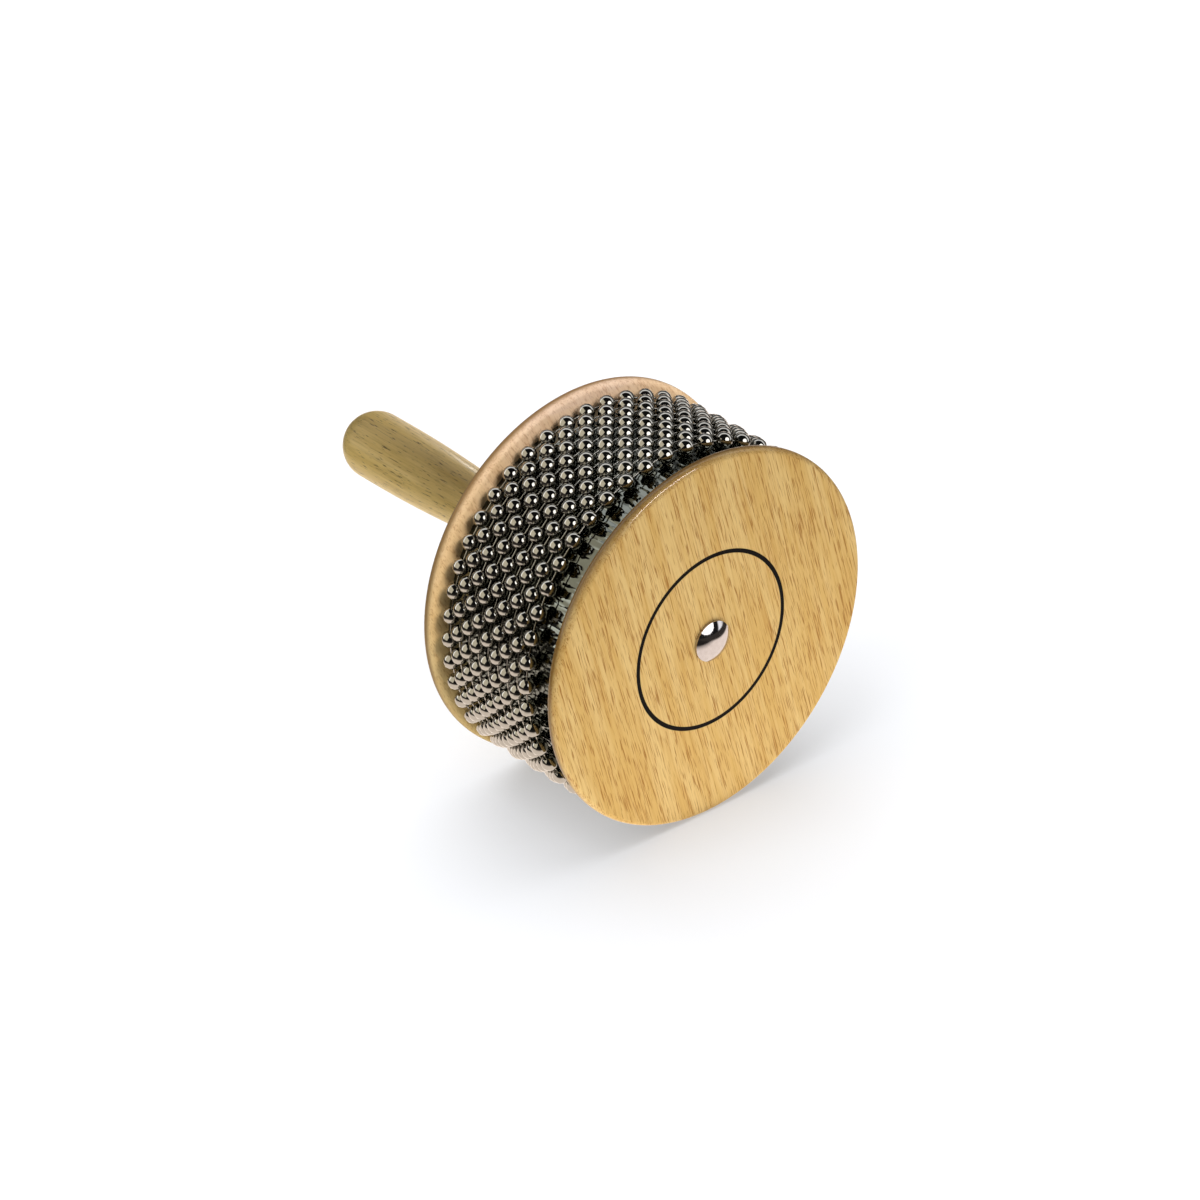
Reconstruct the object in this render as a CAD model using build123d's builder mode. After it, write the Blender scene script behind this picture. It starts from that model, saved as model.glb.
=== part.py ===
from build123d import *
import math
import os

# Cabasa: a wooden drum wrapped in steel sheet, with loops of ball chain round it and a turned handle.
# Millimetres. X runs along the drum towards the bolt head, Z is up, and the drum lies on its two discs.
# The origin is on the floor, under the middle of the overall length.

# Discs
disc_diameter = 140.0
disc_thickness = 5.0
disc_edge_radius = 2.2

# Core and the steel sheet round it
core_length = 60.0
sleeve_diameter = 124.4
sleeve_wall = 0.5
sleeve_seam = 0.6
glue_gap = 0.05

# Ball chain
bead_diameter = 6.2
link_gap = 2.83
pin_diameter = 1.2
bead_clearance = 0.3
chain_sag = 0.5
nest_gap = 0.58
rear_setback = 5.5
band_end_play = 13.0

# Carriage bolt
bolt_diameter = 6.35
head_diameter = 15.1
head_height = 3.4
head_land = 0.5
neck_side = 6.4
neck_depth = 3.5
bolt_reach = 20.0
bolt_tip_chamfer = 0.8
bolt_clearance = 0.2
neck_clearance = 0.1

# Threaded insert in the handle
insert_diameter = 10.0
insert_length = 16.0
insert_flange_diameter = 12.5
insert_flange_thickness = 1.2
thread_clearance = 0.05
insert_clearance = 0.05
bolt_end_room = 4.0

# Turned handle
handle_length = 124.0
handle_base_diameter = 21.6
handle_waist_diameter = 20.6
handle_waist_place = 25.0
handle_grip_diameter = 25.4
handle_grip_run = 10.3

# Places along the drum, from the overall length
drum_length = core_length + 2 * disc_thickness
overall_length = head_height + drum_length + handle_length
front_face = overall_length / 2 - head_height
front_back = front_face - disc_thickness
rear_front = front_back - core_length
rear_face = rear_front - disc_thickness
axis_height = disc_diameter / 2
drum_axis = Axis((0, 0, axis_height), (1, 0, 0))

# Ball chain layout: loops hang on the sheet and neighbours nest half a bead pitch apart
bead_radius = bead_diameter / 2
sleeve_radius = sleeve_diameter / 2
loop_radius = sleeve_radius + bead_clearance + bead_radius + chain_sag
loop_height = axis_height - chain_sag
bead_count = round(2 * math.pi * loop_radius / (bead_diameter + link_gap))
bead_step = 360 / bead_count
half_pitch = math.pi * loop_radius / bead_count
loop_pitch = math.sqrt((bead_diameter + nest_gap) ** 2 - half_pitch**2)
loop_count = int((core_length - band_end_play - bead_diameter) / loop_pitch) + 1

os.makedirs("parts", exist_ok=True)


def across(x, height=axis_height):
    """A plane square to the drum's axis at x, facing the bolt head."""
    return Plane(origin=(x, 0, height), x_dir=(0, 1, 0), z_dir=(1, 0, 0))


def along(x):
    """A plane through the drum's axis with its origin at x, for turned profiles."""
    return Plane(origin=(x, 0, axis_height), x_dir=(1, 0, 0), z_dir=(0, -1, 0))


# Front disc: rounded rim and a square hole that keeps the bolt from turning
with BuildPart() as front_disc:
    with BuildSketch(across(front_back)):
        Circle(disc_diameter / 2)
    extrude(amount=disc_thickness)
    fillet(front_disc.edges().filter_by(GeomType.CIRCLE), disc_edge_radius)
    with BuildSketch(across(front_back)):
        Circle(bolt_diameter / 2 + bolt_clearance)
    extrude(amount=disc_thickness, mode=Mode.SUBTRACT)
    with BuildSketch(across(front_face)):
        Rectangle(neck_side + 2 * neck_clearance, neck_side + 2 * neck_clearance)
    extrude(amount=-neck_depth, mode=Mode.SUBTRACT)
front_disc.part.label = "front_disc"
export_step(front_disc.part, "parts/front_disc.step")

# Rear disc: the same rim with a plain bolt hole
with BuildPart() as rear_disc:
    with BuildSketch(across(rear_face)):
        Circle(disc_diameter / 2)
    extrude(amount=disc_thickness)
    fillet(rear_disc.edges().filter_by(GeomType.CIRCLE), disc_edge_radius)
    with BuildSketch(across(rear_face)):
        Circle(bolt_diameter / 2 + bolt_clearance)
    extrude(amount=disc_thickness, mode=Mode.SUBTRACT)
rear_disc.part.label = "rear_disc"
export_step(rear_disc.part, "parts/rear_disc.step")

# Core: a turned block with the bolt hole through it
with BuildPart() as core_drum:
    with BuildSketch(across(rear_front)):
        Circle(sleeve_radius - sleeve_wall - glue_gap)
        Circle(bolt_diameter / 2 + bolt_clearance, mode=Mode.SUBTRACT)
    extrude(amount=core_length)
core_drum.part.label = "core_drum"
export_step(core_drum.part, "parts/core_drum.step")

# Sleeve: steel sheet rolled round the core, its butt seam underneath
with BuildPart() as steel_sleeve:
    with BuildSketch(across(rear_front)):
        Circle(sleeve_radius)
        Circle(sleeve_radius - sleeve_wall, mode=Mode.SUBTRACT)
        with Locations((0, -sleeve_radius)):
            Rectangle(sleeve_seam, 4 * sleeve_wall, mode=Mode.SUBTRACT)
    extrude(amount=core_length)
steel_sleeve.part.label = "steel_sleeve"
export_step(steel_sleeve.part, "parts/steel_sleeve.step")

# Carriage bolt: a low domed head, a square neck and a plain shank
with BuildPart() as carriage_bolt:
    with BuildSketch(along(front_face)):
        with BuildLine():
            Line((0, 0), (0, head_diameter / 2))
            Line((0, head_diameter / 2), (head_land, head_diameter / 2))
            TangentArc((head_height, 0), (head_land, head_diameter / 2), tangent=(0, 1))
            Line((head_height, 0), (0, 0))
        make_face()
    revolve(axis=drum_axis)
    with BuildSketch(across(front_face)):
        Rectangle(neck_side, neck_side)
    extrude(amount=-neck_depth)
    with BuildSketch(across(front_face)):
        Circle(bolt_diameter / 2)
    extrude(amount=-(drum_length + bolt_reach))
    chamfer(carriage_bolt.faces().sort_by(Axis.X)[0].edges(), bolt_tip_chamfer)
carriage_bolt.part.label = "carriage_bolt"
export_step(carriage_bolt.part, "parts/carriage_bolt.step")

# Threaded insert: a flanged bush let into the handle, which the bolt draws up
with BuildPart() as threaded_insert:
    with BuildSketch(across(rear_face)):
        Circle(insert_flange_diameter / 2)
    extrude(amount=-insert_flange_thickness)
    with BuildSketch(across(rear_face)):
        Circle(insert_diameter / 2)
    extrude(amount=-insert_length)
    with BuildSketch(across(rear_face)):
        Circle(bolt_diameter / 2 + thread_clearance)
    extrude(amount=-insert_length, mode=Mode.SUBTRACT)
threaded_insert.part.label = "threaded_insert"
export_step(threaded_insert.part, "parts/threaded_insert.step")

# Handle: waist by the drum, full grip further out and a round end, bored for the insert and the bolt
base_radius = handle_base_diameter / 2
waist_radius = handle_waist_diameter / 2
grip_radius = handle_grip_diameter / 2
end_start = grip_radius - handle_length
waist = (-handle_waist_place, waist_radius)
grip = (end_start + handle_grip_run, grip_radius)
middle = ((waist[0] + grip[0]) / 2, (waist[1] + grip[1]) / 2)
end_middle = (end_start - grip_radius * math.sqrt(0.5), grip_radius * math.sqrt(0.5))
with BuildPart() as handle:
    with BuildSketch(along(rear_face)):
        with BuildLine():
            Line((0, 0), (0, base_radius))
            TangentArc(waist, (0, base_radius), tangent=(1, 0))
            TangentArc(waist, middle, tangent=(-1, 0))
            TangentArc(grip, middle, tangent=(1, 0))
            Line(grip, (end_start, grip_radius))
            ThreePointArc((end_start, grip_radius), end_middle, (-handle_length, 0))
            Line((-handle_length, 0), (0, 0))
        make_face()
    revolve(axis=drum_axis)
    with BuildSketch(across(rear_face)):
        Circle(insert_flange_diameter / 2 + insert_clearance)
    extrude(amount=-insert_flange_thickness, mode=Mode.SUBTRACT)
    with BuildSketch(across(rear_face)):
        Circle(insert_diameter / 2 + insert_clearance)
    extrude(amount=-insert_length, mode=Mode.SUBTRACT)
    with BuildSketch(across(rear_face)):
        Circle(bolt_diameter / 2 + bolt_clearance)
    extrude(amount=-(bolt_reach + bolt_end_room), mode=Mode.SUBTRACT)
handle.part.label = "handle"
export_step(handle.part, "parts/handle.step")

# One closed loop of ball chain: round beads joined by short pins
link_angle = math.pi / bead_count
pin_circle = loop_radius * math.cos(link_angle)
pin_length = 2 * loop_radius * math.sin(link_angle) - bead_radius
with BuildPart(across(0, loop_height)) as chain_loop:
    with PolarLocations(loop_radius, bead_count, start_angle=90):
        Sphere(bead_radius)
    with PolarLocations(pin_circle, bead_count, start_angle=90 + bead_step / 2):
        Cylinder(pin_diameter / 2, pin_length, rotation=(90, 0, 0))

# The loops stand side by side from the rear disc, every other one turned by half a bead step
loop_axis = Axis((0, 0, loop_height), (1, 0, 0))
for number in range(1, loop_count + 1):
    half_turn = bead_step / 2 if number % 2 else 0
    place = rear_front + rear_setback + (number - 1) * loop_pitch
    with BuildPart() as bead_loop:
        add(chain_loop.part.rotate(loop_axis, half_turn).moved(Location((place, 0, 0))))
    bead_loop.part.label = f"bead_loop_{number}"
    export_step(bead_loop.part, f"parts/bead_loop_{number}.step", write_pcurves=False)

print("beads per loop", bead_count, "loops", loop_count, "loop pitch", round(loop_pitch, 3))
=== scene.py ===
import bpy
import math
import random
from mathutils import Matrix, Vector


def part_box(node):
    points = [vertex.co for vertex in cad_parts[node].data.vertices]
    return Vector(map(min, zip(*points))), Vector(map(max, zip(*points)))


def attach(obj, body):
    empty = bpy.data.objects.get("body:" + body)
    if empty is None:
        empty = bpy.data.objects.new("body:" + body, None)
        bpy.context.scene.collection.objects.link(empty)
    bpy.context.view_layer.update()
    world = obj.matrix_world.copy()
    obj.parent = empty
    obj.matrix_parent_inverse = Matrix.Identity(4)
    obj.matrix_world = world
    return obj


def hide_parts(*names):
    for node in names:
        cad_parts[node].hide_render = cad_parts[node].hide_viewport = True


# Cabasa: a wooden drum wrapped in ribbed steel sheet, with nine loops of ball chain and a turned handle.
# Metres, in the CAD frame: X runs along the drum towards the bolt head and Z is up.

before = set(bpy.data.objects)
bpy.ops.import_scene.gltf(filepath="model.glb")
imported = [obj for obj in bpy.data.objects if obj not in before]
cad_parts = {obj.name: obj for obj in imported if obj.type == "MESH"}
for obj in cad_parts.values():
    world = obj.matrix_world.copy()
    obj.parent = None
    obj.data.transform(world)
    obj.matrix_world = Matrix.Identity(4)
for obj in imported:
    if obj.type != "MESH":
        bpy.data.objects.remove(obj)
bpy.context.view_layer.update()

MM = 0.001

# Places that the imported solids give
front_low, front_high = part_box("front_disc")
rear_low, rear_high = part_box("rear_disc")
sleeve_low, sleeve_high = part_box("steel_sleeve")
handle_low, handle_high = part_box("handle")
bolt_low, bolt_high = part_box("carriage_bolt")
front_face = front_high.x
axis_height = (front_low.z + front_high.z) / 2
axis = Vector((0, 0, axis_height))

# Discs
disc_radius = 70.0 * MM
disc_edge_radius = 2.2 * MM
disc_bore = 3.4 * MM
neck_bore = 4.7 * MM
neck_depth = 3.6 * MM
ring_radius = 33.0 * MM
ring_width = 1.6 * MM
disc_steps = 160
disc_edge_steps = 8
front_grain_turn = 16

# Depths behind a disc's face: from where to where its edge browns and takes painted shade as the rounding
# turns back from the lamps, and the lacquer builds up
edge_brown_and_shade_reach = (1.1 * MM, 2.6 * MM)
lacquer_reach = (0.35 * MM, 0.75 * MM)

# Painted light: heights above the axis between which the rear disc's tint goes from its paler, lamp-lit top
# to a more golden lower side, and how soon it does
painted_light_tint_reach = (66 * MM, -60 * MM)
painted_light_tint_ease = 0.45

# Steel sheet: its ribs are drawn as coarse as they need to be to show in the render
sleeve_radius = 62.2 * MM
sleeve_wall = 0.3 * MM
rib_pitch = 2.4 * MM
rib_depth = 0.2 * MM
rib_dents = 36
rib_sink = 0.7
rib_lean = 0.45 * MM
rib_seed = 5
sleeve_seam = 0.6 * MM

# Ball chain
bead_radius = 3.1 * MM
bead_sides = 12
bead_rings = 8
pin_radius = 0.26 * MM
pin_sides = 12
bead_count = 46
loop_radius = 66.1 * MM
loop_height = 69.5 * MM
loop_count = 9
bead_step = 2 * math.pi / bead_count
bead_play = 0.11 * MM
link_seed = 7

# Carriage bolt
head_radius = 7.55 * MM
head_land = 1.0 * MM
shank_radius = 3.175 * MM
shank_chamfer = 0.8 * MM
dome_cuts = 12
bolt_steps = 64

# Handle
base_radius = 10.8 * MM
waist_radius = 10.3 * MM
waist_place = 25.0 * MM
grip_radius = 12.7 * MM
grip_place = 101.0 * MM
handle_socket = 5.1 * MM
handle_cuts = 24
handle_end_cuts = 12
handle_steps = 96

# Camera, from the photograph's perspective
view_azimuth = math.radians(-40.95)
view_elevation = math.radians(30.70)
view_distance = 1.680
aim_right = -37.8 * MM
aim_up = 13.65 * MM
focal_pixels = 4938
frame_pixels = 1200
sensor_width = 36

# White paper under the object: where its edges fade in the metal's reflections, in metres from the origin,
# how bright it shows there, on the sheet and past its near and side edges, and its glow in the shadow
paper_near = (0.15, 0.25)
paper_right = (0.26, 0.32)
paper_left = (-0.20, -0.12)
paper_bright = 1.5
paper_past_near = 0.03
paper_past_side = 0.06
paper_glow = 0.39
floor_radius = 6

# The white backdrop stands round the back of the object, a band between these turns towards the camera.
# It is dim at its foot, and the studio in front of it is dark
backdrop_edge = (0.02, 0.12)
backdrop_foot = (-0.38, -0.18)
backdrop_bright = 1.5
backdrop_dim = 0.15
studio_dark = 0.012

# Even light from behind and from in front, and the turns between which one gives way to the other
sky_behind = 0.50
sky_front = 0.14
sky_edge = (-0.1, 0.4)

# The floor's own lights: the way that each comes, its width in degrees and its strength
floor_lights = (((-0.27, 0.16, 0.95), 72, 3.5), ((0.05, -0.62, 0.78), 45, 1.9))

# Where the lamps point, and how far in front of the front disc the middle of the paper's bounce lies
lamp_aim = Vector((0.06, 0, axis_height))
bounce_ahead = 0.152


def linear(code):
    """A colour written as sRGB hex, in Blender's linear values."""
    levels = [int(code[i:i + 2], 16) / 255 for i in (1, 3, 5)]
    return [v / 12.92 if v < 0.04045 else ((v + 0.055) / 1.055) ** 2.4 for v in levels] + [1]


def node(tree, kind, inputs=None, **settings):
    """Add a node, set its properties, and set or link its inputs."""
    made = tree.nodes.new(kind)
    for name, value in settings.items():
        setattr(made, name, value)
    for name, value in (inputs or {}).items():
        if isinstance(value, bpy.types.NodeSocket):
            tree.links.new(value, made.inputs[name])
        else:
            made.inputs[name].default_value = value
    return made


def new_material(name):
    """An empty node material and its Object coordinates."""
    material = bpy.data.materials.new(name)
    material.use_nodes = True
    tree = material.node_tree
    tree.nodes.clear()
    place = node(tree, "ShaderNodeTexCoord").outputs["Object"]
    return material, tree, place


def select_only(piece):
    """Make one object the only one selected, and the active one."""
    bpy.ops.object.select_all(action="DESELECT")
    piece.select_set(True)
    bpy.context.view_layer.objects.active = piece


def edit_select(piece, kind, wanted):
    """In edit mode, select the vertices, edges or faces for which wanted is true."""
    bpy.ops.mesh.select_mode(type=kind)
    bpy.ops.mesh.select_all(action="DESELECT")
    bpy.ops.object.mode_set(mode="OBJECT")
    mesh = piece.data
    parts = {"VERT": mesh.vertices, "EDGE": mesh.edges, "FACE": mesh.polygons}[kind]
    for part in parts:
        part.select = wanted(part)
    bpy.ops.object.mode_set(mode="EDIT")


def finish_piece(piece, body, nodes, material, angle=40):
    """Settle a finished piece: smooth shading, material, the body it rides on and the nodes it stands for."""
    select_only(piece)
    bpy.ops.object.transform_apply(location=True, rotation=True, scale=True)
    bpy.ops.object.shade_smooth_by_angle(angle=math.radians(angle))
    piece.data.materials.clear()
    piece.data.materials.append(material)
    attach(piece, body)
    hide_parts(*nodes)


def turned(name, profile, closed, steps):
    """Trace a profile of (x, radius) points by extruding a vertex, then spin it round the drum's axis."""
    bpy.ops.object.select_all(action="DESELECT")
    bpy.ops.mesh.primitive_plane_add(size=MM, location=(0, 0, 0))
    piece = bpy.context.object
    piece.name = name
    piece.data.name = name
    bpy.ops.object.mode_set(mode="EDIT")
    bpy.ops.mesh.select_mode(type="VERT")
    bpy.ops.mesh.select_all(action="SELECT")
    bpy.ops.mesh.merge(type="CENTER")
    bpy.ops.transform.translate(value=(profile[0][0], 0, axis_height + profile[0][1]))
    for before, after in zip(profile, profile[1:]):
        step = (after[0] - before[0], 0, after[1] - before[1])
        bpy.ops.mesh.extrude_region_move(TRANSFORM_OT_translate={"value": step})
    bpy.ops.mesh.select_all(action="SELECT")
    if closed:
        bpy.ops.mesh.edge_face_add()
        bpy.ops.mesh.delete(type="ONLY_FACE")
        bpy.ops.mesh.select_all(action="SELECT")
    bpy.ops.mesh.spin(steps=steps, angle=2 * math.pi, center=axis, axis=(1, 0, 0))
    bpy.ops.mesh.select_all(action="SELECT")
    bpy.ops.mesh.remove_doubles(threshold=0.002 * MM)
    bpy.ops.mesh.normals_make_consistent(inside=False)
    bpy.ops.object.mode_set(mode="OBJECT")
    return piece


def from_axis(point):
    """How far a point is from the drum's axis."""
    return math.hypot(point.y, point.z - axis_height)


def wooden_disc(name, low, high, bore_profile):
    """A turned disc with its bore, its two rims rounded over."""
    rim = [(low, disc_radius), (high, disc_radius)]
    near = 0.1 * MM
    piece = turned(name, rim + bore_profile, True, disc_steps)
    bpy.ops.object.mode_set(mode="EDIT")

    def on_rim(edge):
        ends = [piece.data.vertices[i].co for i in edge.vertices]
        level = abs(ends[0].x - ends[1].x) < near
        return level and all(from_axis(end) > disc_radius - near for end in ends)

    edit_select(piece, "EDGE", on_rim)
    bpy.ops.mesh.bevel(offset=disc_edge_radius, segments=disc_edge_steps, affect="EDGES")
    bpy.ops.object.mode_set(mode="OBJECT")
    return piece


def chain_link():
    """One bead with its flat drawn-in ends, and the pin to the next bead, at the top of a loop."""
    bpy.ops.object.select_all(action="DESELECT")
    bpy.ops.mesh.primitive_uv_sphere_add(
        segments=bead_sides, ring_count=bead_rings, radius=bead_radius,
        location=(0, 0, loop_radius), rotation=(math.pi / 2, 0, 0))
    bead = bpy.context.object
    bpy.ops.object.transform_apply(location=True, rotation=True, scale=True)
    bpy.ops.object.mode_set(mode="EDIT")
    end = bead_radius * math.cos(math.pi / bead_rings)
    # Each pole is cut off, and the ring of vertices round it is closed flat
    for side in (-1, 1):
        edit_select(bead, "VERT", lambda v: v.co.y * side > bead_radius * 0.98)
        bpy.ops.mesh.delete(type="VERT")
        edit_select(bead, "VERT", lambda v: v.co.y * side > end * 0.99)
        bpy.ops.mesh.edge_face_add()
    bpy.ops.mesh.select_all(action="SELECT")
    bpy.ops.mesh.normals_make_consistent(inside=False)
    bpy.ops.object.mode_set(mode="OBJECT")
    half = bead_step / 2
    pin_length = 2 * loop_radius * math.sin(half) - bead_radius
    middle = loop_radius * math.cos(half)
    bpy.ops.mesh.primitive_cylinder_add(
        vertices=pin_sides, radius=pin_radius, depth=pin_length,
        location=(0, -middle * math.sin(half), middle * math.cos(half)),
        rotation=(math.pi / 2 + half, 0, 0))
    pin = bpy.context.object
    bpy.ops.object.transform_apply(location=True, rotation=True, scale=True)
    pin.select_set(True)
    bead.select_set(True)
    bpy.context.view_layer.objects.active = bead
    bpy.ops.object.join()
    return bead


def chain_ring():
    """Links of ball chain set round a full circle about the origin."""
    ring = chain_link()
    bpy.ops.object.empty_add(location=(0, 0, 0), rotation=(bead_step, 0, 0))
    turn = bpy.context.object
    select_only(ring)
    bpy.ops.object.modifier_add(type="ARRAY")
    array = ring.modifiers[-1]
    array.count = bead_count
    array.use_relative_offset = False
    array.use_object_offset = True
    array.offset_object = turn
    bpy.ops.object.modifier_apply(modifier=array.name)
    bpy.data.objects.remove(turn)
    return ring


def loosen(ring, draws):
    """Shift each link a little, as the links of a real chain lie."""
    mesh = ring.data
    link_size = len(mesh.vertices) // bead_count
    for link in range(bead_count):
        angle = link * bead_step
        outwards = Vector((0, -math.sin(angle), math.cos(angle)))
        shift = Vector((draws.uniform(-bead_play, bead_play), 0, 0))
        shift += outwards * draws.uniform(-bead_play, bead_play)
        for vertex in mesh.vertices[link * link_size:(link + 1) * link_size]:
            vertex.co += shift


def wood_grain(tree, place, grain, tones, sizes, shares, opening):
    """Wood grain along the turned X axis: broad bands, fine streaks and short open pores.
    Sizes are (length, width) in millimetres of the bands, the streaks and the pores, and opening
    is the range of the noise over which a pore opens. Gives the colour and the pores."""
    fields = []
    for (length, width), detail in zip(sizes, (2.5, 2.0, 0.6)):
        run = node(tree, "ShaderNodeMapping", {
            "Vector": place, "Rotation": grain,
            "Scale": (length * MM, width * MM, width * MM)}, vector_type="TEXTURE")
        field = node(tree, "ShaderNodeTexNoise", {
            "Vector": run.outputs["Vector"], "Scale": 1.0, "Detail": detail, "Roughness": 0.55})
        fields.append(field.outputs["Fac"])
    pale, deep, streak, pore = [linear(tone) for tone in tones]
    bands = node(tree, "ShaderNodeMapRange", {
        "Value": fields[0], "From Min": 0.34, "From Max": 0.66}, interpolation_type="SMOOTHSTEP")
    colour = node(tree, "ShaderNodeMix", {
        "Factor": bands.outputs["Result"], "A": pale, "B": deep}, data_type="RGBA")
    streaks = node(tree, "ShaderNodeMapRange", {
        "Value": fields[1], "From Min": 0.44, "From Max": 0.72, "To Max": shares[0]})
    colour = node(tree, "ShaderNodeMix", {
        "Factor": streaks.outputs["Result"], "A": colour.outputs["Result"], "B": streak}, data_type="RGBA")
    gathered = node(tree, "ShaderNodeMath", {
        0: fields[1], 1: 0.3, 2: fields[2]}, operation="MULTIPLY_ADD")
    pores = node(tree, "ShaderNodeMapRange", {
        "Value": gathered.outputs["Value"], "From Min": opening[0], "From Max": opening[1],
        "To Max": shares[1]})
    colour = node(tree, "ShaderNodeMix", {
        "Factor": pores.outputs["Result"], "A": colour.outputs["Result"], "B": pore}, data_type="RGBA")
    return colour.outputs["Result"], pores.outputs["Result"]


def lacquer(tree, colour, pores, rough, gloss, coat):
    """Thin clear lacquer over wood: the pores stay open under it, and are duller."""
    hollows = node(tree, "ShaderNodeBump", {
        "Strength": 0.4, "Distance": 0.08 * MM, "Height": pores}, invert=True)
    dull = node(tree, "ShaderNodeMapRange", {
        "Value": pores, "To Min": rough, "To Max": rough + 0.15})
    shader = node(tree, "ShaderNodeBsdfPrincipled", {
        "Base Color": colour, "Roughness": dull.outputs["Result"],
        "Normal": hollows.outputs["Normal"], "IOR": 1.5, "Specular IOR Level": gloss,
        "Coat Weight": coat, "Coat Roughness": 0.10, "Coat IOR": 1.6})
    node(tree, "ShaderNodeOutputMaterial", {"Surface": shader.outputs["BSDF"]})


def radius_from_axis(tree, place):
    """How far a point of the surface is from the drum's axis."""
    centred = node(tree, "ShaderNodeVectorMath", {0: place, 1: axis}, operation="SUBTRACT")
    flat = node(tree, "ShaderNodeVectorMath", {
        0: centred.outputs["Vector"], 1: (0, 1, 1)}, operation="MULTIPLY")
    return node(tree, "ShaderNodeVectorMath", {
        0: flat.outputs["Vector"]}, operation="LENGTH").outputs["Value"]


def edge_brown_and_painted_shade(tree, place, radius, colour, face, tone):
    """The bare edge of a disc behind its face, browner than its two faces, and darkened there with painted
    shade where the rounding turns back from the lamps.
    """
    depth = node(tree, "ShaderNodeSeparateXYZ", {"Vector": place})
    behind = node(tree, "ShaderNodeMapRange", {
        "Value": depth.outputs["X"], "From Min": face - edge_brown_and_shade_reach[0],
        "From Max": face - edge_brown_and_shade_reach[1], "To Max": 0.85})
    edge = node(tree, "ShaderNodeMapRange", {
        "Value": radius, "From Min": disc_radius - disc_edge_radius,
        "From Max": disc_radius - disc_edge_radius / 3, "To Max": behind.outputs["Result"]})
    mixed = node(tree, "ShaderNodeMix", {
        "Factor": edge.outputs["Result"], "A": colour, "B": linear(tone)}, data_type="RGBA")
    return mixed.outputs["Result"]


def front_disc_finish():
    """Oak-faced disc in rubbed satin lacquer: golden, with short dark pores, its bare edge behind the face
    brown and darkened with painted shade, glossier where the lacquer built up on the rounding, and one plain
    printed ring round the bolt."""
    material, tree, place = new_material("satin_oak_veneer")
    grain = (0, math.radians(90 - front_grain_turn), math.radians(90))
    colour, pores = wood_grain(
        tree, place, grain, ("#E4C380", "#D9B269", "#C08F48", "#94591D"),
        ((70, 6), (24, 0.8), (6.0, 0.26)), (0.6, 0.65), (0.72, 0.84))
    radius = radius_from_axis(tree, place)
    depth = node(tree, "ShaderNodeSeparateXYZ", {"Vector": place})
    # Painted shade: the rounding darkens towards the back of the disc, on top of the bare edge's brown
    edge_brown_and_shaded = edge_brown_and_painted_shade(tree, place, radius, colour, front_face, "#7A571C")
    built_up = node(tree, "ShaderNodeMapRange", {
        "Value": depth.outputs["X"], "From Min": front_face - lacquer_reach[0],
        "From Max": front_face - lacquer_reach[1], "To Min": 0.0, "To Max": 0.5})
    off_line = node(tree, "ShaderNodeMath", {0: radius, 1: ring_radius}, operation="SUBTRACT")
    distance = node(tree, "ShaderNodeMath", {0: off_line.outputs["Value"]}, operation="ABSOLUTE")
    line = node(tree, "ShaderNodeMapRange", {
        "Value": distance.outputs["Value"], "From Min": 0.45 * ring_width, "From Max": 0.55 * ring_width,
        "To Min": 1.0, "To Max": 0.0})
    printed = node(tree, "ShaderNodeMix", {
        "Factor": line.outputs["Result"], "A": edge_brown_and_shaded,
        "B": linear("#0F0C0A")}, data_type="RGBA")
    lacquer(tree, printed.outputs["Result"], pores, 0.45, 0.04, built_up.outputs["Result"])
    return material


def rear_disc_finish():
    """Rubberwood disc in satin lacquer: pale and pinkish, with a close plain grain, tinted by painted light
    paler at the top and more golden lower down, and its edge browned and darkened with painted shade."""
    material, tree, place = new_material("satin_rubberwood")
    grain = (0, math.radians(60), math.radians(90))
    colour, pores = wood_grain(
        tree, place, grain, ("#EBD5BC", "#E3CBAE", "#D0B091", "#A47D5C"),
        ((60, 7), (12, 1.2), (2.2, 0.40)), (0.55, 0.4), (0.70, 0.86))
    height = node(tree, "ShaderNodeSeparateXYZ", {"Vector": place})
    # Painted light: the tint follows height, paler where the lamp over the drum falls, more golden lower down
    golden = node(tree, "ShaderNodeMapRange", {
        "Value": height.outputs["Z"], "From Min": axis_height + painted_light_tint_reach[0],
        "From Max": axis_height + painted_light_tint_reach[1]})
    eased = node(tree, "ShaderNodeMath", {
        0: golden.outputs["Result"], 1: painted_light_tint_ease}, operation="POWER")
    painted_light_tinted = node(tree, "ShaderNodeMix", {
        "Factor": eased.outputs["Value"], "A": colour, "B": linear("#FFF3B0")},
        data_type="RGBA", blend_type="MULTIPLY")
    radius = radius_from_axis(tree, place)
    # Painted shade: a dark brown outline where the rim turns back from the lamps, on top of the bare edge's
    # brown
    colour = edge_brown_and_painted_shade(tree, place, radius, painted_light_tinted.outputs["Result"], rear_high.x, "#94713F")
    lacquer(tree, colour, pores, 0.42, 0.12, 0.0)
    return material


def handle_finish():
    """Turned rubberwood, sanded and thinly lacquered: khaki tan with short dark flecks along the grain."""
    material, tree, place = new_material("turned_rubberwood")
    colour, pores = wood_grain(
        tree, place, (0, 0, 0), ("#DDBF70", "#CDAE5D", "#A98C40", "#33240C"),
        ((60, 5), (16, 0.8), (3.6, 0.34)), (0.55, 0.8), (0.79, 0.91))
    lacquer(tree, colour, pores, 0.42, 0.3, 0.2)
    return material


def core_finish():
    """Sawn beech, bare: pale brown with fine flecks."""
    material, tree, place = new_material("sawn_beech")
    colour, pores = wood_grain(
        tree, place, (0, 0, 0), ("#D9BE98", "#CBAA80", "#B08F66", "#8E6E48"),
        ((70, 8), (20, 1.0), (3, 0.4)), (0.5, 0.6), (0.69, 0.85))
    lacquer(tree, colour, pores, 0.6, 0.5, 0.0)
    return material


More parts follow.
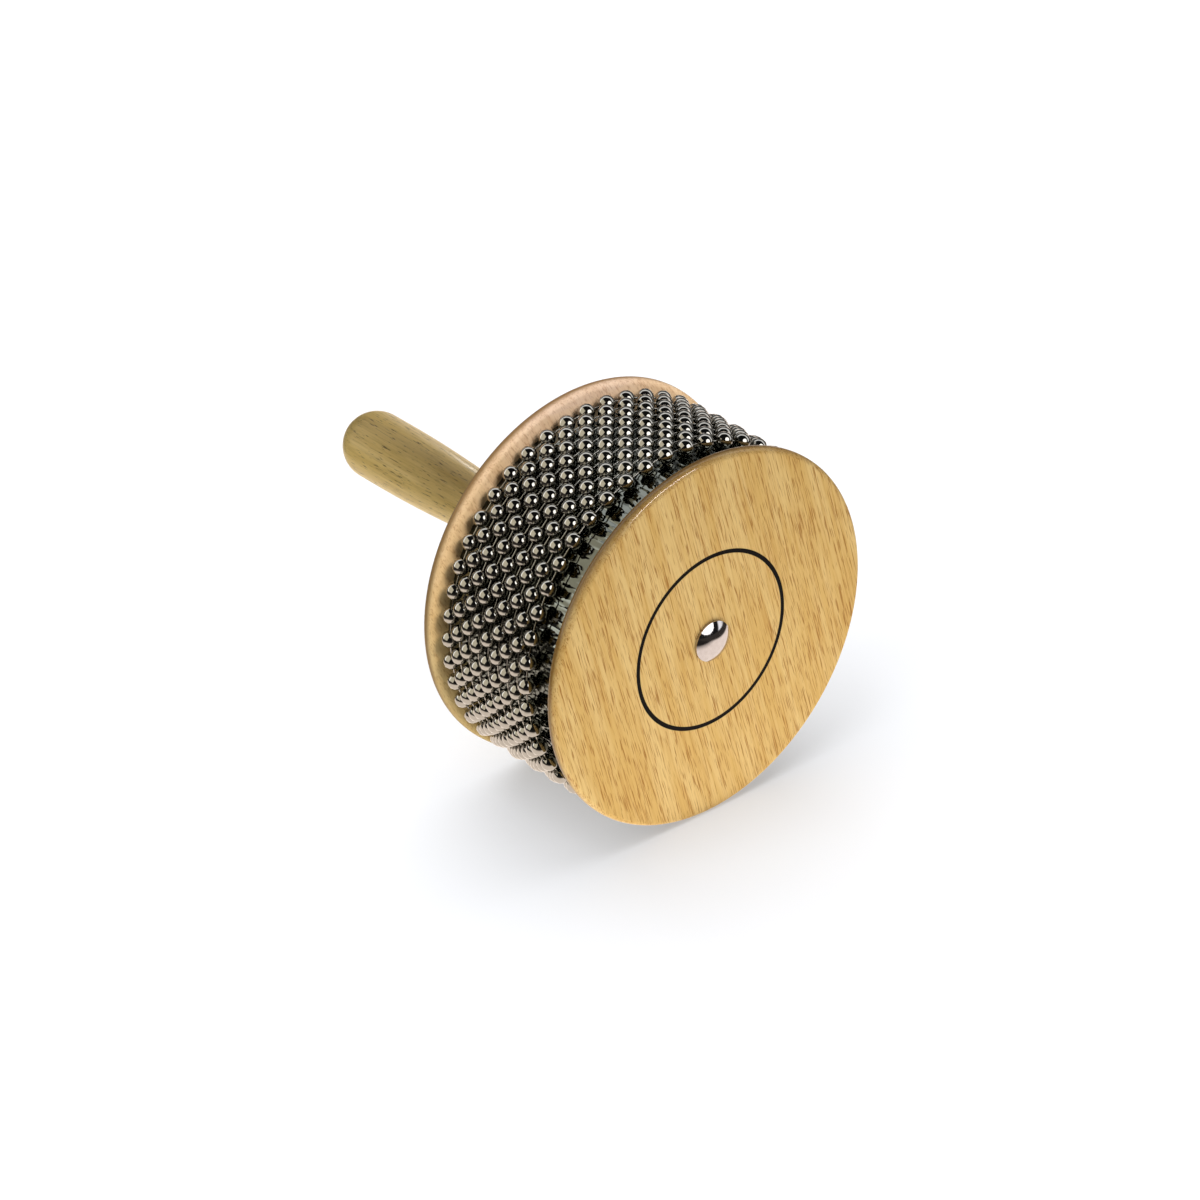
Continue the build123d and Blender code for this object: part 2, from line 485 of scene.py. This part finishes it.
def metal_finish(name, clean, stained, rough, spread, spot):
    """Bright metal with faint cloudy stains of the given size in millimetres, duller where stained."""
    material, tree, place = new_material(name)
    size = (spot * MM, spot * MM, spot * MM)
    spots = node(tree, "ShaderNodeMapping", {"Vector": place, "Scale": size}, vector_type="TEXTURE")
    cloud = node(tree, "ShaderNodeTexNoise", {
        "Vector": spots.outputs["Vector"], "Scale": 1.0, "Detail": 4.0, "Roughness": 0.6})
    colour = node(tree, "ShaderNodeMix", {
        "Factor": cloud.outputs["Fac"], "A": linear(clean), "B": linear(stained)}, data_type="RGBA")
    worn = node(tree, "ShaderNodeMapRange", {
        "Value": cloud.outputs["Fac"], "From Min": 0.3, "From Max": 0.7,
        "To Min": rough - spread, "To Max": rough + spread})
    shader = node(tree, "ShaderNodeBsdfPrincipled", {
        "Base Color": colour.outputs["Result"], "Metallic": 1.0, "Roughness": worn.outputs["Result"]})
    node(tree, "ShaderNodeOutputMaterial", {"Surface": shader.outputs["BSDF"]})
    return material


front_wood = front_disc_finish()
rear_wood = rear_disc_finish()
handle_wood = handle_finish()
core_wood = core_finish()
# Nickel-plated chain: mirror smooth and rather dark, with a faint warm cast
bead_steel = metal_finish("nickel_plated_chain", "#AFADA8", "#9D9B95", 0.04, 0.02, 1.2)
# Stainless sheet: bright, and unevenly ribbed, which breaks up what it mirrors
sleeve_steel = metal_finish("ribbed_stainless_sheet", "#767A75", "#646863", 0.04, 0.02, 3.0)
# Zinc-plated bolt: bright, with a faint cool cast
bolt_plate = metal_finish("bright_zinc_plate", "#C9C6C8", "#B2AEB0", 0.09, 0.03, 2.0)
# Machined brass: yellow, with a soft sheen
insert_brass = metal_finish("machined_brass", "#D8B46A", "#C29A52", 0.22, 0.05, 2.0)

# Discs
bore = [(front_face, neck_bore), (front_face - neck_depth, neck_bore),
        (front_face - neck_depth, disc_bore), (front_low.x, disc_bore)]
front = wooden_disc("front_disc_wood", front_low.x, front_face, bore)
finish_piece(front, "drum", ["front_disc"], front_wood)
rear = wooden_disc("rear_disc_wood", rear_low.x, rear_high.x,
                   [(rear_high.x, disc_bore), (rear_low.x, disc_bore)])
finish_piece(rear, "drum", ["rear_disc"], rear_wood)


def handle_reach(run):
    """The handle's radius at a run from the drum, along the CAD profile's arcs."""
    flare = waist_place**2 / (2 * (base_radius - waist_radius))
    swell = (grip_place - waist_place) ** 2 / (4 * (grip_radius - waist_radius))
    middle = (waist_place + grip_place) / 2
    if run < waist_place:
        return waist_radius + (run - waist_place) ** 2 / (2 * flare)
    if run < middle:
        return waist_radius + (run - waist_place) ** 2 / (2 * swell)
    return grip_radius - (run - grip_place) ** 2 / (2 * swell)


# Handle
top = handle_high.x
runs = [grip_place * i / handle_cuts for i in range(handle_cuts + 1)]
profile = [(top, handle_socket)] + [(top - run, handle_reach(run)) for run in runs]
round_centre = handle_low.x + grip_radius
profile.append((round_centre, grip_radius))
for i in range(1, handle_end_cuts + 1):
    angle = math.pi / 2 * i / handle_end_cuts
    profile.append((round_centre - grip_radius * math.sin(angle), grip_radius * math.cos(angle)))
grip = turned("handle_wood", profile, False, handle_steps)
finish_piece(grip, "drum", ["handle"], handle_wood, 60)

# Bolt head and shank
dome_rise = bolt_high.x - front_face - head_land
dome_radius = (dome_rise**2 + head_radius**2) / (2 * dome_rise)
dome_edge = math.asin(head_radius / dome_radius)
profile = [(bolt_high.x - dome_radius * (1 - math.cos(dome_edge * i / dome_cuts)),
            dome_radius * math.sin(dome_edge * i / dome_cuts)) for i in range(dome_cuts + 1)]
profile += [(front_face, head_radius), (front_face, shank_radius)]
profile += [(bolt_low.x + shank_chamfer, shank_radius), (bolt_low.x, shank_radius - shank_chamfer)]
profile += [(bolt_low.x, 0)]
bolt = turned("carriage_bolt_plated", profile, False, bolt_steps)
finish_piece(bolt, "drum", ["carriage_bolt"], bolt_plate, 30)

# Steel sheet: uneven ribs along the drum, four lines of vertices to a rib, and its butt seam underneath
columns = 4 * round(2 * math.pi * sleeve_radius / rib_pitch)
bpy.ops.object.select_all(action="DESELECT")
bpy.ops.mesh.primitive_cylinder_add(
    vertices=columns, radius=sleeve_radius - rib_depth, depth=sleeve_high.x - sleeve_low.x,
    end_fill_type="NOTHING", location=((sleeve_low.x + sleeve_high.x) / 2, 0, axis_height),
    rotation=(0, math.pi / 2, 0))
sleeve = bpy.context.object
sleeve.name = "steel_sleeve_ribbed"
sleeve.data.name = "steel_sleeve_ribbed"
bpy.ops.object.transform_apply(location=True, rotation=True, scale=True)
bpy.ops.object.mode_set(mode="EDIT")


def rib_line(vertex):
    """Which of a rib's four lines a vertex is on: 0 is the ridge and 2 the valley."""
    return round(math.atan2(vertex.co.y, vertex.co.z - axis_height) * columns / (2 * math.pi)) % 4


def in_seam(face):
    """The columns of faces just beside the lowest line."""
    return face.center.z < axis_height and 0 < face.center.y < sleeve_seam


def along_drum(edge):
    """The long edges, from one end of the sheet to the other."""
    ends = [sleeve.data.vertices[i].co.x for i in edge.vertices]
    return abs(ends[0] - ends[1]) > rib_pitch


edit_select(sleeve, "EDGE", along_drum)
bpy.ops.mesh.subdivide(number_cuts=rib_dents - 1)
for lines, rise in (((0,), rib_depth), ((1, 3), rib_depth / 2)):
    edit_select(sleeve, "VERT", lambda vertex: rib_line(vertex) in lines)
    raised = 1 + rise / (sleeve_radius - rib_depth)
    bpy.ops.transform.resize(value=(1, raised, raised), center_override=axis)
edit_select(sleeve, "FACE", in_seam)
bpy.ops.mesh.delete(type="FACE")
bpy.ops.object.mode_set(mode="OBJECT")
# Each rib is dented along its length, and its ridge leans from side to side
draws = random.Random(rib_seed)
for vertex in sleeve.data.vertices:
    ridge = rib_line(vertex) == 0
    out = Vector((0, vertex.co.y, vertex.co.z - axis_height)).normalized()
    rise = from_axis(vertex.co) - (sleeve_radius - rib_depth)
    vertex.co -= out * rise * draws.uniform(0, rib_sink)
    if ridge:
        vertex.co += Vector((1, 0, 0)).cross(out) * draws.uniform(-rib_lean, rib_lean)
bpy.ops.object.modifier_add(type="SOLIDIFY")
wall = sleeve.modifiers[-1]
wall.thickness = sleeve_wall
wall.offset = -1
bpy.ops.object.modifier_apply(modifier=wall.name)
finish_piece(sleeve, "drum", ["steel_sleeve"], sleeve_steel, 12)

# Ball chain loops
draws = random.Random(link_seed)
pattern = chain_ring()
for number in range(1, loop_count + 1):
    loop_low, loop_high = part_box(f"bead_loop_{number}")
    loop = pattern.copy()
    loop.data = pattern.data.copy()
    loop.name = f"bead_loop_{number}_chain"
    loop.data.name = loop.name
    bpy.context.scene.collection.objects.link(loop)
    loosen(loop, draws)
    loop.location = ((loop_low.x + loop_high.x) / 2, 0, loop_height)
    loop.rotation_euler = (bead_step / 2 if number % 2 else 0, 0, 0)
    finish_piece(loop, f"loop_{number}", [f"bead_loop_{number}"], bead_steel, 32)
bpy.data.objects.remove(pattern)

# Hidden pieces keep their CAD shape
for name, material in (("core_drum", core_wood), ("threaded_insert", insert_brass)):
    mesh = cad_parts[name].data
    mesh.materials.clear()
    mesh.materials.append(material)

# Camera
back = Vector((math.cos(view_elevation) * math.cos(view_azimuth),
               math.cos(view_elevation) * math.sin(view_azimuth), math.sin(view_elevation)))
right = Vector((0, 0, 1)).cross(back).normalized()
up = back.cross(right)
ground = Vector((back.x, back.y, 0)).normalized()
lens = bpy.data.cameras.new("camera")
lens.sensor_width = sensor_width
lens.lens = sensor_width * focal_pixels / frame_pixels
lens.clip_end = 20
camera = bpy.data.objects.new("camera", lens)
aim = Vector((front_face, 0, axis_height)) + right * aim_right + up * aim_up
camera.location = aim + back * view_distance
camera.rotation_euler = (math.pi / 2 - view_elevation, 0, view_azimuth + math.pi / 2)
bpy.context.scene.collection.objects.link(camera)
bpy.context.scene.camera = camera

# Floor: a sheet of white paper, which keeps the soft shadow and ends in a dark studio
bpy.ops.object.select_all(action="DESELECT")
bpy.ops.mesh.primitive_circle_add(vertices=64, radius=floor_radius, fill_type="NGON", location=(0, 0, 0))
floor = bpy.context.object
floor.name = "floor"
paper, tree, place = new_material("white_paper")
path = node(tree, "ShaderNodeLightPath").outputs
nearer = node(tree, "ShaderNodeVectorMath", {0: place, 1: ground}, operation="DOT_PRODUCT")
aside = node(tree, "ShaderNodeVectorMath", {0: place, 1: right}, operation="DOT_PRODUCT")
near_end = node(tree, "ShaderNodeMapRange", {
    "Value": nearer.outputs["Value"], "From Min": paper_near[0], "From Max": paper_near[1],
    "To Min": paper_bright, "To Max": paper_past_near})
right_end = node(tree, "ShaderNodeMapRange", {
    "Value": aside.outputs["Value"], "From Min": paper_right[0], "From Max": paper_right[1],
    "To Min": near_end.outputs["Result"], "To Max": paper_past_side})
sheet = node(tree, "ShaderNodeMapRange", {
    "Value": aside.outputs["Value"], "From Min": paper_left[0], "From Max": paper_left[1],
    "To Min": paper_past_side, "To Max": right_end.outputs["Result"]})
matte = node(tree, "ShaderNodeBsdfDiffuse", {"Color": linear("#A8AAAE")})
glow = node(tree, "ShaderNodeEmission", {"Color": (1, 1, 1, 1), "Strength": paper_glow})
seen = node(tree, "ShaderNodeAddShader", {0: matte.outputs["BSDF"], 1: glow.outputs["Emission"]})
mirrored = node(tree, "ShaderNodeEmission", {
    "Color": linear("#FAEADC"), "Strength": sheet.outputs["Result"]})
mirror = node(tree, "ShaderNodeMath", {
    0: path["Is Glossy Ray"], 1: path["Is Transmission Ray"]}, operation="MAXIMUM")
surface = node(tree, "ShaderNodeMixShader", {
    "Fac": mirror.outputs["Value"], 1: seen.outputs["Shader"], 2: mirrored.outputs["Emission"]})
node(tree, "ShaderNodeOutputMaterial", {"Surface": surface.outputs["Shader"]})
floor.data.materials.append(paper)

# World: a white backdrop behind the object and a dark studio above and in front
world = bpy.data.worlds.new("studio")
bpy.context.scene.world = world
world.use_nodes = True
tree = world.node_tree
tree.nodes.clear()
path = node(tree, "ShaderNodeLightPath").outputs
heading = node(tree, "ShaderNodeTexCoord").outputs["Generated"]
facing = node(tree, "ShaderNodeVectorMath", {0: heading, 1: back}, operation="DOT_PRODUCT")
foot = node(tree, "ShaderNodeMapRange", {
    "Value": facing.outputs["Value"], "From Min": backdrop_foot[0], "From Max": backdrop_foot[1],
    "To Min": backdrop_dim, "To Max": backdrop_bright})
backdrop = node(tree, "ShaderNodeMapRange", {
    "Value": facing.outputs["Value"], "From Min": backdrop_edge[0], "From Max": backdrop_edge[1],
    "To Min": foot.outputs["Result"], "To Max": studio_dark})
sky = node(tree, "ShaderNodeMapRange", {
    "Value": facing.outputs["Value"], "From Min": sky_edge[0], "From Max": sky_edge[1],
    "To Min": sky_behind, "To Max": sky_front})
white = node(tree, "ShaderNodeBackground", {"Color": (1, 1, 1, 1), "Strength": 1.0})
even = node(tree, "ShaderNodeBackground", {
    "Color": linear("#FFFBF8"), "Strength": sky.outputs["Result"]})
studio = node(tree, "ShaderNodeBackground", {
    "Color": (1, 1, 1, 1), "Strength": backdrop.outputs["Result"]})
mirror = node(tree, "ShaderNodeMath", {
    0: path["Is Glossy Ray"], 1: path["Is Transmission Ray"]}, operation="MAXIMUM")
lit = node(tree, "ShaderNodeMixShader", {
    "Fac": mirror.outputs["Value"], 1: even.outputs["Background"], 2: studio.outputs["Background"]})
shown = node(tree, "ShaderNodeMixShader", {
    "Fac": path["Is Camera Ray"], 1: lit.outputs["Shader"], 2: white.outputs["Background"]})
node(tree, "ShaderNodeOutputWorld", {"Surface": shown.outputs["Shader"]})


def light_group(name, members, state):
    """A group that says which pieces a lamp lights: these alone, or all but these."""
    group = bpy.data.collections.new(name)
    for place, member in enumerate(members):
        group.objects.link(member)
        group.collection_objects[place].light_linking.link_state = state
    return group


floor_alone = light_group("floor_alone", [floor], "INCLUDE")
all_but_floor = light_group("all_but_floor", [floor], "EXCLUDE")
front_alone = light_group("front_alone", [front], "INCLUDE")
rear_alone = light_group("rear_alone", [rear], "INCLUDE")
handle_alone = light_group("handle_alone", [grip], "INCLUDE")


def softbox(name, shape, heading, distance, width, height, power, tint, group):
    """An area light that faces the drum from a heading and lights the pieces of a group."""
    light = bpy.data.lights.new(name, "AREA")
    light.shape = shape
    light.size = width
    light.size_y = height
    light.energy = power
    light.color = linear(tint)[:3]
    lamp = bpy.data.objects.new(name, light)
    towards = Vector(heading).normalized()
    lamp.location = lamp_aim + towards * distance
    lamp.rotation_euler = towards.to_track_quat("Z", "Y").to_euler()
    lamp.visible_camera = False
    lamp.light_linking.receiver_collection = group
    bpy.context.scene.collection.objects.link(lamp)
    return lamp


# A round softbox on the right and a beige card high on the left, which show in the metal
key = softbox(
    "key", "ELLIPSE", (0.851, 0.126, 0.506), 1.2, 1.1, 1.1, 9.5, "#FFFDFA", all_but_floor)
key.visible_diffuse = False
card = softbox(
    "left_card", "RECTANGLE", (-0.318, -0.803, 0.503), 1.1, 1.6, 1.2, 7.4, "#F2E8D0", all_but_floor)
card.visible_diffuse = False
# Front disc: a broad fill, the bounce from the paper at its foot, a long softbox that shows on its edge,
# and a light straight above its rim
fill = softbox(
    "front_fill", "RECTANGLE", (0.92, -0.20, 0.25), 1.2, 1.0, 0.8, 1.2, "#FFF6EE", front_alone)
fill.visible_glossy = False
bounce = softbox(
    "paper_bounce", "RECTANGLE", (0, 0, -1), 0.07, 0.3, 0.3, 0.28, "#FFFAF6", front_alone)
bounce.location = (front_face + bounce_ahead, 0, 1 * MM)
bounce.rotation_euler = (math.pi, 0, 0)
bounce.visible_glossy = False
shine = softbox(
    "edge_light", "RECTANGLE", (0.60, 0.13, 0.75), 1.2, 0.8, 0.3, 14.0, "#FFEDE8", front_alone)
shine.visible_diffuse = False
rim = softbox(
    "rim_light", "RECTANGLE", (0.10, -0.20, 0.97), 1.2, 0.4, 0.4, 2.5, "#FFF2E6", front_alone)
rim.visible_glossy = False
# Rear disc: a light over the top of the drum
softbox(
    "rear_light", "RECTANGLE", (0.66, -0.06, 0.75), 1.2, 0.4, 0.4, 12.5, "#FFF2EC", rear_alone)
# Handle: a light past the left side of the drum, and one from behind that pales its upper edge
past_drum = softbox(
    "handle_light", "RECTANGLE", (0.82, -0.42, 0.39), 1.2, 0.4, 0.4, 6.6, "#FFF6EC", handle_alone)
past_drum.visible_glossy = False
softbox(
    "handle_rim_light", "RECTANGLE", (-0.50, 0.76, 0.41), 1.2, 0.5, 0.5, 6.4, "#FFFAF4", handle_alone)

# Broad soft lights on the floor: one from above puts the shadow close round the drum, and a weaker one
# from the left throws a faint shadow to the right
for heading, angle, energy in floor_lights:
    light = bpy.data.lights.new("shadow_light", "SUN")
    light.angle = math.radians(angle)
    light.energy = energy
    lamp = bpy.data.objects.new("shadow_light", light)
    lamp.rotation_euler = Vector(heading).to_track_quat("Z", "Y").to_euler()
    lamp.visible_glossy = False
    lamp.light_linking.receiver_collection = floor_alone
    bpy.context.scene.collection.objects.link(lamp)

bpy.context.scene.view_settings.view_transform = "Standard"
